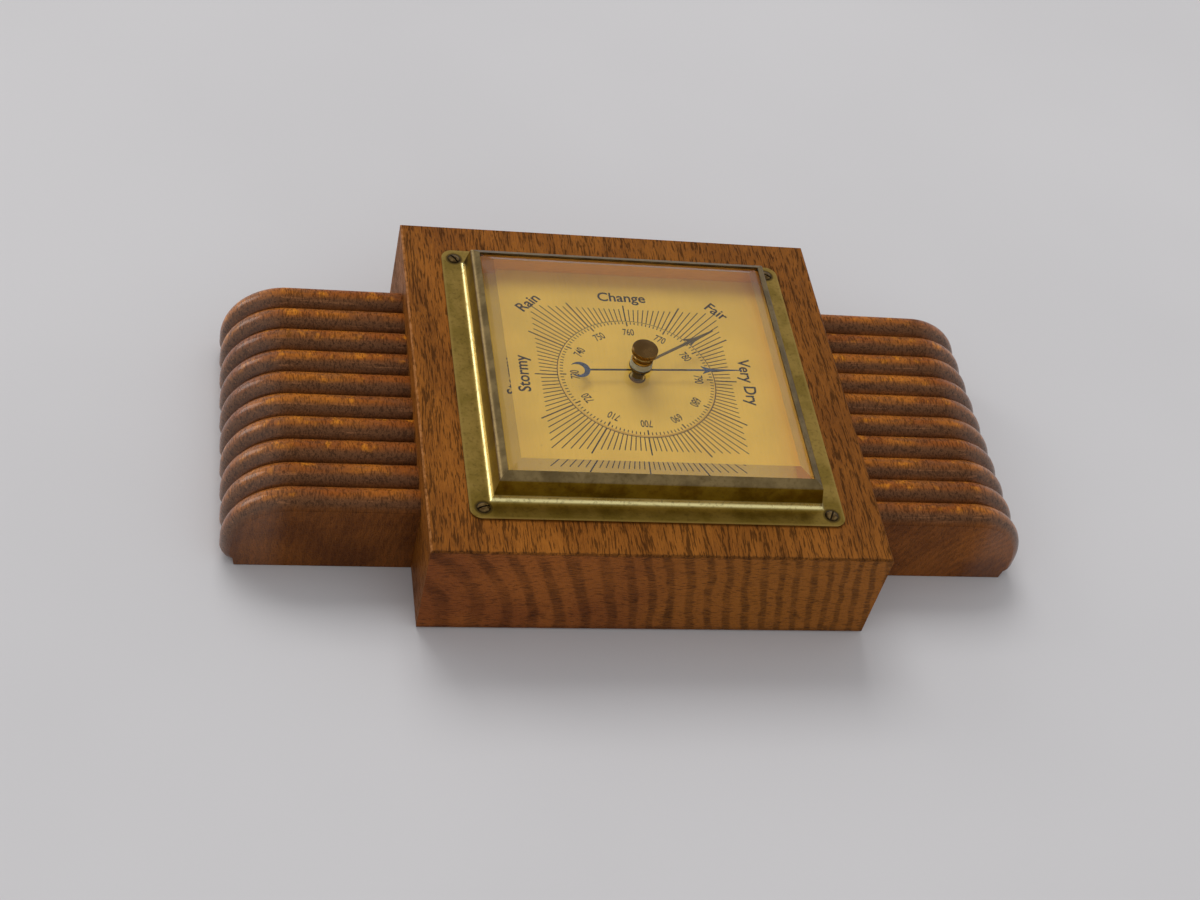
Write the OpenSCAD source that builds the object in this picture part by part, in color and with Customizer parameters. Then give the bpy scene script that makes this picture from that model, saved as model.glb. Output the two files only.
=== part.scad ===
// Wall barometer: an oak block with two fluted wings, a pressed brass bezel over a bevelled
// square glass, and an aneroid movement behind the dial. Millimetres. The back face lies on
// z = 0, +Z points out of the dial and +Y to the top of the dial as it hangs.

/* [Case] */
// Width and height of the square block
block_w = 150; // [140:1:180]
// Depth of the block from wall to front face
block_d = 38; // [37:0.5:48]
// Chamfer on the block's edges
block_chamfer = 0.5; // [0.2:0.1:1.5]
// Wood left behind the movement
floor_t = 5; // [4.5:0.5:6]
// Gap round the base plate in the cavity routed for the movement
cavity_gap = 3; // [1:0.5:5]
// Radius of the hole that reaches the adjusting screw
access_r = 4.5; // [4:0.1:6]

/* [Wings] */
// Reach of one wing beyond the block
wing_len = 61.5; // [45:0.5:80]
// Height of a wing across its beads
wing_h = 101; // [80:1:130]
// Thickness of a wing from wall to bead crest
wing_t = 30; // [26:0.5:34]
// Number of beads on a wing
bead_count = 10; // [6:1:14]
// Depth of the groove between two beads
groove_depth = 3.3; // [1.5:0.1:4]
// Radius of the wing's rounded end
tip_r = 22; // [14:0.5:26]
// Radius where the rounded end meets the wall
foot_r = 5; // [4:0.1:7]
// Radius of a wing dowel
dowel_r = 4; // [3:0.5:5]
// Length of a wing dowel
dowel_len = 30; // [20:1:36]
// Distance between the two dowels of a wing
dowel_pitch = 60; // [40:1:70]
// Height of the dowels above the wall
dowel_z = 15; // [10:0.5:17]

/* [Bezel] */
// Width of the sight opening
opening_w = 100.6; // [97:0.2:104]
// Width of the raised frame from the sight opening to its foot
frame_border = 4.2; // [4:0.1:5]
// Width of the flange round the raised frame
flange_reach = 7.2; // [6.6:0.1:10]
// Thickness of the brass sheet
sheet_t = 0.7; // [0.5:0.1:1]
// Corner radius of the flange
flange_corner_r = 4; // [2:0.5:6]
// Lean of the raised frame's wall, in degrees
wall_lean = 10; // [6:1:12]
// Fillet between flange and raised frame
foot_fillet = 1.8; // [1:0.1:2.2]
// Radius where the frame's wall turns into its lip
lip_round = 2; // [1.2:0.1:2.4]
// Distance of a bezel screw from the flange's edge
screw_inset = 4.4; // [4:0.1:5]
// Radius of a bezel screw's head
screw_head_r = 2.3; // [1.9:0.1:2.5]
// Radius of a bezel screw's shank
screw_shank_r = 1.2; // [1:0.1:1.4]
// Length of a bezel screw below its head
screw_len = 10; // [6:0.5:14]

/* [Glass and dial] */
// How far the bezel's lip covers the glass
lip_cover = 1.3; // [1:0.1:1.6]
// Thickness of the glass
glass_t = 4.5; // [3.5:0.1:5]
// Width of the glass's bevel
bevel_w = 5.6; // [4:0.1:8]
// Height that the bevel takes off the edge
bevel_drop = 2.5; // [1.5:0.1:2.6]
// Radius of the hole in the glass
glass_hole_r = 3.7; // [3:0.1:4.5]
// How far the dial plate reaches beyond the sight opening
dial_cover = 2.2; // [1.9:0.1:3]
// Thickness of the dial plate
dial_t = 0.8; // [0.5:0.1:1.2]
// Radius of the dial's raised centre
dial_centre_r = 27; // [20:0.5:30]
// Height of the dial's raised centre
dial_centre_h = 0.4; // [0.2:0.1:0.6]
// Radius of the hole in the dial
dial_hole_r = 2.9; // [2.7:0.1:3.5]
// Distance of the gilt frame from the glass's edge
spacer_inset = 0.3; // [0.1:0.1:0.5]
// Wall of the gilt frame
spacer_t = 0.7; // [0.4:0.1:1]
// Distance from dial plate to glass
dial_gap = 6.5; // [6.2:0.1:8]

/* [Set hand] */
// Radius of the knob's disc
knob_r = 4.4; // [4:0.1:6]
// Thickness of the knob's disc
knob_disc_t = 2.5; // [1.8:0.1:3]
// Height of the knob above the glass
knob_h = 5.6; // [4.9:0.1:8]
// Radius of the knob's foot on the glass
knob_foot_r = 3.6; // [3.4:0.1:4]
// Radius of the knob's stem
stem_r = 2; // [1.4:0.1:2.2]
// Length of the set hand from the centre
set_hand_len = 33.6; // [26:0.2:40]
// Radius of the set hand's disc
set_disc_r = 3.9; // [3.8:0.1:5]
// Direction of the set hand, counted from +X
set_hand_deg = 32.7; // [0:0.1:360]

/* [Pressure hand] */
// Length of the pressure hand from the centre
hand_len = 36.4; // [28:0.2:42]
// Distance from the centre to the crescent's middle
tail_len = 20.5; // [14:0.5:24]
// Outer radius of the crescent
crescent_r = 3.45; // [3:0.05:4]
// Height of the pressure hand above the dial plate
hand_rise = 3.7; // [3.5:0.1:4]
// Direction of the pressure hand, counted from +X
hand_deg = 2.8; // [0:0.1:360]

/* [Movement] */
// Radius of the movement's base plate
base_r = 36; // [35.8:0.1:40]
// Thickness of the base plate
base_t = 1.6; // [1.2:0.1:2]
// Radius of the vacuum capsule
capsule_r = 21; // [17:0.5:22]
// Height of half the capsule
capsule_half = 2.5; // [2:0.1:2.8]
// Number of corrugations in a diaphragm
corrugations = 4; // [3:1:6]
// Thickness of the mainspring
spring_t = 0.8; // [0.6:0.1:1]
// Half width of the mainspring
spring_half_w = 9; // [6:0.5:12]
// Length of the mainspring's tongue beyond the centre
tongue_len = 10; // [9:0.5:12]
// Distance of the mainspring's bend from the centre
spring_reach = 28; // [27:0.5:30]
// Distance of the rocking shaft from the centre
rocker_y = 25; // [24.5:0.1:26]
// Height of the rocking shaft above the base plate
rocker_rise = 19; // [18.9:0.1:19.4]
// Length of the arm that the link drives
link_arm = 2.5; // [2.3:0.1:2.8]
// Length of the arm that pulls the chain
chain_arm_len = 7.5; // [6.6:0.1:7.8]
// Turn of the rocking shaft from its middle at this reading, in degrees
rocker_deg = -22; // [-27:1:-10]
// Distance of the movement's pillars from the centre
pillar_x = 29; // [28:0.5:31]
// Radius of a pillar
pillar_r = 2; // [1.6:0.1:2.6]
// Height of the arbor bridge above the base plate
bridge_rise = 21.4; // [21.2:0.1:21.8]
// Distance of the adjusting screw from the centre
adjuster_y = 25; // [24:0.5:26]
// Radius of the adjusting screw
adjuster_r = 2; // [1.6:0.1:2.4]
// Turns in the hairspring
hairspring_turns = 4; // [3:1:6]
// Pitch of the chain's links
chain_pitch = 1.4; // [1.2:0.1:2]

/* [Hanger] */
// Width of the hanger plate
hanger_w = 26; // [24:1:32]
// Height of the hanger plate
hanger_h = 28; // [26:1:32]
// Thickness of the hanger plate
hanger_t = 1.2; // [1.1:0.1:2]
// Distance of the keyhole's round end below the block's top
keyhole_drop = 22; // [20:0.5:23]
// Radius of the keyhole's round end
keyhole_r = 4.5; // [4:0.1:5]
// Half width of the keyhole's slot
slot_half_w = 2.4; // [2.2:0.1:2.6]
// Length of the keyhole's slot
slot_len = 10; // [8:0.5:11]
// Depth of the pocket behind the hanger plate
pocket_d = 8; // [6:0.5:10]

/* [Hidden] */
$fn = 64;
EPS = 0.01;
OVER = 1;
FIT = 0.05;
SEAT_GAP = 0.1;
DEPTH = 400;

// Levels of block, dial and glass
front_z = block_d;
dial_top = front_z + dial_t;
glass_z = dial_top + dial_gap;
glass_top = glass_z + glass_t;

// Widths that follow the sight opening
glass_w = opening_w + 2 * lip_cover;
glass_flat_w = glass_w - 2 * bevel_w;
bevel_slope = bevel_drop / bevel_w;
spacer_w = glass_w - 2 * spacer_inset;
dial_w = opening_w + 2 * dial_cover;
dial_edge = 0.2;
frame_foot_w = opening_w + 2 * frame_border;
bezel_w = frame_foot_w + 2 * flange_reach;
screw_xy = bezel_w / 2 - screw_inset;
screw_dome = 0.6;
slot_w = 0.6;
slot_turn = [20, 65, 125, 150];

// Wings
bead_pitch = wing_h / bead_count;
bead_r = (pow(bead_pitch / 2, 2) + pow(groove_depth, 2)) / (2 * groove_depth);
wing_root = block_w / 2;
groove_fill = 0.15;
end_flat = 0.5;
end_r = min(tip_r, wing_t - foot_r - end_flat);
side_z = wing_t - end_r;
core_foot = 0.3;
core_turn = 60;
core_skip = 3;

// Base plate, capsule and post
cavity_r = base_r + cavity_gap;
base_z = floor_t;
base_top = base_z + base_t;
base_screw_r = 1.1;
base_screw_len = 3.6;
base_screw_ring = base_r - 3.6;
base_screw_deg = [45, 135, 270];
base_head_r = 2.2;
base_head_h = 1.3;
stud_h = 1.2;
stud_r = 4;
shell_t = 0.3;
wave_h = 0.35;
rim_flat = 1.2;
wave_inset = 1;
capsule_z = base_top + stud_h;
rim_z = capsule_z + capsule_half;
capsule_top = rim_z + capsule_half;
post_r = 1.5;
post_foot_r = 3;
post_foot_h = 0.8;

// Mainspring, its bridge and the pin that rests on it
spring_rise = 5.4;
leaf_z = capsule_top + spring_rise;
leaf_top = leaf_z + spring_t;
bend_r = 1.8;
beam_top = leaf_z - 2 * bend_r;
beam_t = 2.2;
beam_y = 20;
beam_depth = spring_reach - beam_y;
leg_x = 19.5;
leg_w = 5;
shoulder_len = 10;
tongue_half_w = 2.8;
tongue_flare = 1.5;
tongue_root_y = 3;
spring_screw_x = 5;
spring_screw_r = 1.3;
spring_screw_h = 0.8;
pin_r = 0.6;
pin_len = 7;
pin_gap = 0.02;
pin_z = leaf_top + pin_r + pin_gap;
post_over = 0.6;
post_gap = 0.4;

// Lever, rocking shaft and its arms
lever_t = 1.4;
lever_half_w = 1.8;
lever_root_y = post_r + 1.7;
lever_screw_r = 0.7;
lever_screw_inset = 1.7;
lever_screw_y = [lever_root_y + lever_screw_inset, tongue_len - lever_screw_inset];
lever_head_r = 1.3;
lever_head_h = 0.8;
rocker_z = base_top + rocker_rise;
shaft_r = 0.9;
shaft_play = 0.3;
pivot_r = 0.6;
upright_x = 9;
upright_t = 1.2;
upright_y = 4;
upright_over = 2;
rocker_foot_w = 6.5;
rocker_screw_x = 5;
rocker_screw_y = rocker_y + 1.5;
rocker_screw_r = 0.9;
rocker_head_r = 1.6;
rocker_head_h = 1;
arm_t = 0.8;
arm_wall = 0.7;
chain_arm_w = 1;
arm_wall_thin = 0.4;
slot_run = 0.75;
slot_gap = 0.14;
link_x = 1;
link_r = 0.3;
link_over = 0.3;
link_y = rocker_y + link_arm * cos(rocker_deg);
link_z = rocker_z + link_arm * sin(rocker_deg);

// Chain, drum, hairspring and arbor
drum_r = 0.95;
drum_h = 2;
drum_rim = 0.8;
drum_rim_t = 0.3;
chain_half_w = 0.25;
chain_x = -drum_r - FIT - chain_half_w;
chain_z = rocker_z + chain_arm_len * cos(rocker_deg);
chain_end_y = rocker_y - chain_arm_len * sin(rocker_deg);
chain_gap = 1;
link_plate_t = 0.2;
link_waist = 0.36;
rivet_r = 0.12;
rivet_over = 0.05;
bridge_z = base_top + bridge_rise;
bridge_t = 1.2;
bridge_half_w = 5;
arbor_r = 0.7;
arbor_foot = 0.4;
arbor_tip = 0.2;
collar_r = drum_r + 0.2;
collar_h = 1;
hairspring_r = 7.5;
hairspring_h = 0.6;
hairspring_strip = 0.15;
hairspring_z = bridge_z + bridge_t + 0.6;
spring_stud_r = 0.6;
spring_stud_h = 1.6;
cock_t = 1.4;
cock_gap = 2;
cock_z = front_z - cock_gap - cock_t;
tube_r = 2.5;
hand_gap = 0.3;
tube_top = dial_top + dial_centre_h + hand_gap;
pillar_head_h = 1.2;

// Hands
hand_z = dial_top + hand_rise;
hand_t = 0.3;
hand_boss_r = 2.4;
hand_rod_half = 0.28;
hand_tip_len = 14.4;
crescent_bore_r = 2.7;
crescent_shift = 1.1;
collet_z = tube_top + hand_gap;
collet_r = 1.9;
collet_rim_r = 2.5;
collet_rim_t = 0.5;
boss_r = 1.5;
boss_over = 0.3;
set_hand_t = 0.5;
set_hand_z = glass_z - 0.2 - set_hand_t;
set_rod_half = 0.4;
set_tip_len = 12;
barb_half = 1.75;
barb_sweep = 1.2;
barb_len = 3.2;
barb_neck = 5.5;
nut_h = 0.8;
nut_wall = 0.9;
knob_foot_h = 0.9;
knob_waist_r = 2.3;
knob_cove = 1;
knob_edge = 0.5;
knob_dome = 0.25;

// Adjusting screw and hanger
adjuster_drop = 0.8;
adjuster_slot_w = 0.8;
adjuster_slot_d = 0.9;
adjuster_boss = 1.2;
adjuster_boss_h = 1.6;
keyhole_y = block_w / 2 - keyhole_drop;
hanger_y = keyhole_y + slot_len / 2;
pocket_w = 14;
pocket_margin = 2;
hanger_screw_r = 1.1;
hanger_head_r = 2.1;
hanger_screw_len = 9;
hanger_screw_x = hanger_w / 2 - 3.2;

OAK = [0.45, 0.23, 0.09];
OAK_DARK = [0.33, 0.17, 0.07];
BEECH = [0.76, 0.6, 0.4];
BRASS = [0.62, 0.52, 0.25];
GILT = [0.83, 0.67, 0.33];
OLD_BRASS = [0.42, 0.32, 0.17];
STEEL = [0.55, 0.56, 0.58];
BLUED = [0.12, 0.16, 0.3];
BLACKENED = [0.15, 0.13, 0.12];
NICKEL = [0.72, 0.7, 0.65];
CLEAR = [0.8, 0.9, 0.85, 0.35];

// Shapes that several parts share

function reversed(list) = [for (i = [len(list) - 1 : -1 : 0]) list[i]];

// An outline that is the same on both sides of the middle, from its right half.
function both_sides(right) = concat(right, [for (p = reversed(right)) [-p[0], p[1]]]);

// Points of an arc about (x, y), from one angle to another in equal steps.
function arc(x, y, r, from, to, steps) = [for (i = [0 : steps])
    let (a = from + (to - from) * i / steps) [x + r * cos(a), y + r * sin(a)]];

// Radius of the ball whose cap has this rim radius and height.
function ball_radius(rim_r, dome) = (rim_r * rim_r + dome * dome) / (2 * dome);

// Points of a low dome over a disc, from its rim at height z to its top on the axis.
function dome_points(rim_r, dome, z) = let (ball = ball_radius(rim_r, dome))
    arc(0, z + dome - ball, ball, acos(rim_r / ball), 90, 6);

module at_corners(half) {
    for (sx = [-1, 1], sy = [-1, 1]) translate([sx * half, sy * half, 0]) children();
}

module at_both(x, y) {
    for (sx = [-1, 1]) translate([sx * x, y, 0]) children();
}

module plate(w, h, t) {
    translate([-w / 2, -h / 2, 0]) cube([w, h, t]);
}

// A square form with the same outline, a 2D child drawn over X and Z, on all four sides.
module four_sided() {
    intersection() {
        translate([0, DEPTH / 2, 0]) rotate([90, 0, 0]) linear_extrude(DEPTH) children();
        translate([-DEPTH / 2, 0, 0]) rotate([90, 0, 90]) linear_extrude(DEPTH) children();
    }
}

// A screw slot across a head, with its floor at the given height.
module screw_slot(head_r, width, floor_z, deg) {
    run = head_r + OVER;
    rotate(deg) translate([-run, -width / 2, floor_z]) cube([2 * run, width, 2 * OVER]);
}

// A slotted countersunk screw with a low dome, pointing down, with the rim of its head at z = 0.
module screw(head_r, shank_r, len, dome, slot_deg) {
    difference() {
        rotate_extrude() polygon(concat([[0, -len], [shank_r, -len], [shank_r, shank_r - head_r]],
            dome_points(head_r, dome, 0)));
        screw_slot(head_r, slot_w, dome - slot_w, slot_deg);
    }
}

// The seat cut for such a screw's head, with its rim at z = 0.
module countersink(head_r, shank_r) {
    depth = head_r - shank_r;
    translate([0, 0, -depth]) cylinder(r1 = shank_r, r2 = head_r + EPS, h = depth + EPS);
}

// A slotted cheese head on a short shank that points down from z = 0.
module cheese_screw(head_r, head_h, shank_r, len, slot_deg) {
    difference() {
        rotate_extrude() polygon([[0, -len], [shank_r, -len], [shank_r, 0], [head_r, 0],
            [head_r, head_h], [0, head_h]]);
        screw_slot(head_r, slot_w, head_h / 2, slot_deg);
    }
}

// Case

module chamfered_square(w, h, c) {
    polygon([[-w / 2 + c, 0], [w / 2 - c, 0], [w / 2, c], [w / 2, h - c], [w / 2 - c, h],
        [-w / 2 + c, h], [-w / 2, h - c], [-w / 2, c]]);
}

module oak_block() {
    color(OAK) difference() {
        four_sided() chamfered_square(block_w, block_d, block_chamfer);
        translate([0, 0, floor_t]) cylinder(r = cavity_r, h = block_d, $fn = 128);
        translate([0, -adjuster_y, -EPS]) cylinder(r = access_r, h = floor_t + OVER);
        at_corners(screw_xy) {
            translate([0, 0, front_z - screw_len]) cylinder(r = screw_shank_r, h = screw_len + OVER);
            translate([0, 0, front_z + sheet_t]) countersink(screw_head_r, screw_shank_r);
        }
        dowel_places() cylinder(r = dowel_r, h = dowel_len, center = true);
        base_screw_places() translate([0, 0, floor_t - base_screw_len])
            cylinder(r = base_screw_r, h = base_screw_len + EPS);
        translate([0, hanger_y, -EPS]) plate(hanger_w, hanger_h, hanger_t + EPS);
        hanger_pocket();
        at_both(hanger_screw_x, hanger_y) cylinder(r = hanger_screw_r, h = hanger_screw_len);
    }
}

// Room behind the hanger plate for the wall screw's head, from the round end to the slot's end.
module hanger_pocket() {
    bottom = keyhole_y - keyhole_r - pocket_margin;
    top = keyhole_y + slot_len + slot_half_w + pocket_margin;
    translate([-pocket_w / 2, bottom, hanger_t - EPS]) cube([pocket_w, top - bottom, pocket_d]);
}

module dowel_places() {
    for (side = [-1, 1], row = [-1, 1])
        translate([side * wing_root, row * dowel_pitch / 2, dowel_z]) rotate([0, 90, 0]) children();
}

module wing_dowels() {
    color(BEECH) dowel_places() cylinder(r = dowel_r, h = dowel_len, center = true);
}

// Cross-section of one bead's crown, with the crest at y = height.
module bead_crown(height) {
    translate([0, height]) intersection() {
        translate([0, -bead_r]) circle(r = bead_r, $fn = 96);
        translate([-bead_pitch / 2, groove_fill / 2 - groove_depth]) square([bead_pitch, groove_depth]);
    }
}

// The crown of one bead: along the top, round the tip, down the end and round the foot.
module bead() {
    straight = wing_len - end_r;
    foot_x = wing_len - foot_r;
    rotate([90, 0, 90]) linear_extrude(straight) bead_crown(wing_t);
    translate([straight, 0, side_z]) rotate([90, 0, 0]) rotate_extrude(angle = 90, $fn = 96)
        rotate(-90) bead_crown(end_r);
    translate([foot_x, 0, foot_r]) linear_extrude(side_z - foot_r) rotate(-90) bead_crown(foot_r);
    translate([foot_x, 0, foot_r]) rotate([0, 90, 0]) rotate([90, 0, 0])
        rotate_extrude(angle = 90, $fn = 96) rotate(-90) bead_crown(foot_r);
}

// Side view of a wing at the floor of its grooves, drawn over X and Z.
module wing_core() {
    inset = groove_depth - groove_fill;
    foot_x = wing_len - foot_r;
    polygon(concat([[0, 0], [foot_x + core_foot, 0]],
        arc(foot_x, foot_r, foot_r - inset, -core_turn, 0, 3),
        arc(wing_len - end_r, side_z, end_r - inset, core_skip, 90 - core_skip, 10),
        [[0, wing_t - inset]]));
}

// The wing on the +X side.
module wing() {
    difference() {
        translate([wing_root, 0, 0]) {
            translate([0, wing_h / 2, 0]) rotate([90, 0, 0]) linear_extrude(wing_h) wing_core();
            for (i = [0 : bead_count - 1]) translate([0, (i + 0.5) * bead_pitch - wing_h / 2, 0]) bead();
        }
        dowel_places() cylinder(r = dowel_r, h = dowel_len, center = true);
    }
}

module right_wing() {
    color(OAK_DARK) wing();
}

module left_wing() {
    color(OAK_DARK) mirror([1, 0, 0]) wing();
}

// Bezel, glass and dial

// Height of the lip's under and upper face at a distance u from the centre.
function lip_under(u) = glass_top - (u - glass_flat_w / 2) * bevel_slope + SEAT_GAP;
function lip_top(u) = lip_under(u) + sheet_t * sqrt(1 + bevel_slope * bevel_slope);

// Where the wall's line from (foot, z) meets the lip's upper face, or the face this far below it.
function lip_corner(foot, z, drop) = let (
    lean = tan(wall_lean),
    level = lip_top(0) - drop,
    u = (foot + lean * z - lean * level) / (1 - lean * bevel_slope)
) [u, level - u * bevel_slope];

// Points of that corner, rounded with radius r from the wall's direction to the lip's.
function lip_turn(corner, r) = let (
    from = 90 + wall_lean,
    to = 180 - atan(bevel_slope),
    reach = r * tan((to - from) / 2),
    x = corner[0] - reach * cos(from) - r * sin(from),
    z = corner[1] - reach * sin(from) + r * cos(from)
) arc(x, z, r, from - 90, to - 90, 6);

// Outline of the raised frame: fillet, leaning wall, and a lip that lies along the glass bevel.
module raised_outline() {
    foot = frame_foot_w / 2;
    foot_z = front_z + sheet_t;
    fillet_x = foot + foot_fillet / tan((90 + wall_lean) / 2);
    lip_x = opening_w / 2 - OVER;
    polygon(both_sides(concat([[fillet_x, front_z]],
        arc(fillet_x, foot_z + foot_fillet, foot_fillet, 270, 180 + wall_lean, 10),
        lip_turn(lip_corner(foot, foot_z, 0), lip_round),
        [[lip_x, lip_top(lip_x)]])));
}

// The hollow under the raised frame, one sheet thickness inside its outline.
module hollow_outline() {
    foot = frame_foot_w / 2 - sheet_t / cos(wall_lean) + tan(wall_lean) * (sheet_t + EPS);
    foot_z = front_z - EPS;
    lip_x = opening_w / 2 - 2 * OVER;
    polygon(both_sides(concat([[foot, foot_z]],
        lip_turn(lip_corner(foot, foot_z, lip_top(0) - lip_under(0)), max(lip_round - sheet_t, EPS)),
        [[lip_x, lip_under(lip_x)]])));
}

module rounded_square(w, r) {
    square([w - 2 * r, w], center = true);
    square([w, w - 2 * r], center = true);
    at_corners(w / 2 - r) circle(r = r);
}

module bezel() {
    color(BRASS) difference() {
        union() {
            translate([0, 0, front_z]) linear_extrude(sheet_t) rounded_square(bezel_w, flange_corner_r);
            four_sided() raised_outline();
        }
        four_sided() hollow_outline();
        translate([0, 0, front_z]) plate(opening_w, opening_w, DEPTH);
        at_corners(screw_xy) {
            translate([0, 0, front_z - EPS]) cylinder(r = screw_shank_r + SEAT_GAP, h = sheet_t + OVER);
            translate([0, 0, front_z + sheet_t]) countersink(screw_head_r, screw_shank_r);
        }
    }
}

module bezel_screws() {
    color(BRASS) for (i = [0 : 3])
        translate([(i % 2 * 2 - 1) * screw_xy, (floor(i / 2) * 2 - 1) * screw_xy, front_z + sheet_t])
            screw(screw_head_r, screw_shank_r, screw_len, screw_dome, slot_turn[i]);
}

module glass() {
    edge_top = glass_top - bevel_drop;
    color(CLEAR) difference() {
        four_sided() polygon(both_sides([[glass_w / 2, glass_z], [glass_w / 2, edge_top],
            [glass_flat_w / 2, glass_top]]));
        translate([0, 0, glass_z - OVER]) cylinder(r = glass_hole_r, h = glass_t + 2 * OVER);
    }
}

module gilt_spacer() {
    inside = spacer_w - 2 * spacer_t;
    color(GILT) translate([0, 0, dial_top]) difference() {
        plate(spacer_w, spacer_w, dial_gap);
        translate([0, 0, -OVER]) plate(inside, inside, dial_gap + 2 * OVER);
    }
}

module dial_plate() {
    color(GILT) difference() {
        union() {
            translate([0, 0, front_z]) plate(dial_w, dial_w, dial_t);
            translate([0, 0, dial_top - EPS]) cylinder(r1 = dial_centre_r + dial_edge,
                r2 = dial_centre_r - dial_edge, h = dial_centre_h + EPS, $fn = 128);
        }
        translate([0, 0, front_z - OVER]) cylinder(r = dial_hole_r, h = dial_t + dial_centre_h + 2 * OVER);
    }
}

// Set hand

// Turned knob: a stem through the glass, a foot on it, a hollowed neck and a domed disc.
module set_knob() {
    stem_z = set_hand_z - nut_h;
    foot_z = glass_top + SEAT_GAP / 2;
    foot_top = foot_z + knob_foot_h;
    top_z = glass_top + knob_h;
    disc_z = top_z - knob_disc_t;
    cove = min(knob_cove, (disc_z - foot_top) / 2 - EPS);
    cove_x = knob_waist_r + cove;
    edge_x = knob_r - knob_edge;
    color(OLD_BRASS) rotate_extrude() polygon(concat([[0, stem_z], [stem_r, stem_z], [stem_r, foot_z],
        [knob_foot_r, foot_z], [knob_foot_r, foot_top]],
        arc(cove_x, foot_top + cove, cove, 270, 180, 4),
        arc(cove_x, disc_z - cove, cove, 180, 90, 4),
        arc(edge_x, disc_z + knob_edge, knob_edge, -90, 0, 4),
        arc(edge_x, top_z - knob_dome - knob_edge, knob_edge, 0, 60, 3),
        dome_points(edge_x, knob_dome, top_z - knob_dome)));
}

// Arrow that points along +X: a straight rod, two swept barbs and a long fine point.
module arrow(rod_from, barb_x, point_x, half_rod) {
    upper = [[rod_from, half_rod], [barb_x + barb_sweep, half_rod], [barb_x, barb_half],
        [barb_x + barb_len, half_rod * 1.7], [barb_x + barb_neck, half_rod * 1.3], [point_x, half_rod / 3]];
    polygon(concat([for (p = upper) [p[0], -p[1]]], reversed(upper)));
}

module set_hand() {
    color(BLACKENED) translate([0, 0, set_hand_z]) rotate(set_hand_deg) linear_extrude(set_hand_t)
        difference() {
            union() {
                circle(r = set_disc_r);
                arrow((stem_r + set_disc_r) / 2, set_hand_len - set_tip_len, set_hand_len, set_rod_half);
            }
            circle(r = stem_r);
        }
}

module set_hand_nut() {
    color(BLACKENED) translate([0, 0, set_hand_z - nut_h]) difference() {
        cylinder(r = stem_r + nut_wall, h = nut_h);
        translate([0, 0, -OVER]) cylinder(r = stem_r, h = nut_h + 2 * OVER);
    }
}

// Pressure hand and its arbor

module crescent(outer_r, inner_r, shift) {
    difference() {
        circle(r = outer_r);
        translate([-shift, 0]) circle(r = inner_r);
    }
}

module pressure_hand() {
    rod_from = (crescent_r + crescent_bore_r - crescent_shift) / 2 - tail_len;
    rod_to = (boss_r + hand_boss_r) / 2;
    color(BLUED) translate([0, 0, hand_z]) rotate(hand_deg) linear_extrude(hand_t) difference() {
        union() {
            circle(r = hand_boss_r);
            arrow(rod_to, hand_len - hand_tip_len, hand_len, hand_rod_half);
            translate([rod_from, -hand_rod_half]) square([-rod_to - rod_from, 2 * hand_rod_half]);
            translate([-tail_len, 0]) crescent(crescent_r, crescent_bore_r, crescent_shift);
        }
        circle(r = boss_r);
    }
}

module hand_collet() {
    rim_z = hand_z - collet_rim_t;
    color(BLACKENED) difference() {
        union() {
            translate([0, 0, collet_z]) cylinder(r = collet_r, h = rim_z - collet_z);
            translate([0, 0, rim_z]) cylinder(r = collet_rim_r, h = collet_rim_t);
            translate([0, 0, hand_z - EPS]) cylinder(r = boss_r, h = hand_t + boss_over);
        }
        translate([0, 0, collet_z - OVER]) cylinder(r = arbor_r, h = hand_z + hand_t - collet_z + 2 * OVER);
    }
}

module pointer_arbor() {
    from_z = bridge_z - arbor_foot;
    color(STEEL) {
        translate([0, 0, from_z]) cylinder(r = arbor_r, h = hand_z + hand_t + arbor_tip - from_z);
        translate([0, 0, hairspring_z - arbor_tip]) cylinder(r = collar_r, h = collar_h);
    }
}

module chain_drum() {
    bottom = chain_z - drum_h / 2;
    color(BRASS) difference() {
        union() {
            translate([0, 0, bottom]) cylinder(r = drum_r, h = drum_h);
            for (z = [bottom, bottom + drum_h - drum_rim_t])
                translate([0, 0, z]) cylinder(r = drum_r + drum_rim, h = drum_rim_t);
        }
        translate([0, 0, bottom - OVER]) cylinder(r = arbor_r, h = drum_h + 2 * OVER);
    }
}

function spiral(inner, outer, turns, shift) = [for (i = [0 : 24 * turns])
    let (a = i * 15, r = inner + (outer - inner) * i / (24 * turns) + shift) [r * cos(a), r * sin(a)]];

module hairspring() {
    inner_r = collar_r + SEAT_GAP + hairspring_strip;
    outside = spiral(inner_r, hairspring_r, hairspring_turns, 0);
    inside = spiral(inner_r, hairspring_r, hairspring_turns, -hairspring_strip);
    color(STEEL) translate([0, 0, hairspring_z]) linear_extrude(hairspring_h)
        polygon(concat(outside, reversed(inside)));
}

module hairspring_stud() {
    color(BRASS) translate([hairspring_r + spring_stud_r, 0, bridge_z + bridge_t])
        cylinder(r = spring_stud_r, h = spring_stud_h);
}

// A flat link with round ends, along +Y from the origin.
module link_plate(z) {
    translate([0, 0, z]) linear_extrude(link_plate_t) {
        circle(r = chain_half_w, $fn = 24);
        translate([0, chain_pitch]) circle(r = chain_half_w, $fn = 24);
        translate([-link_waist / 2, 0]) square([link_waist, chain_pitch]);
    }
}

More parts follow.
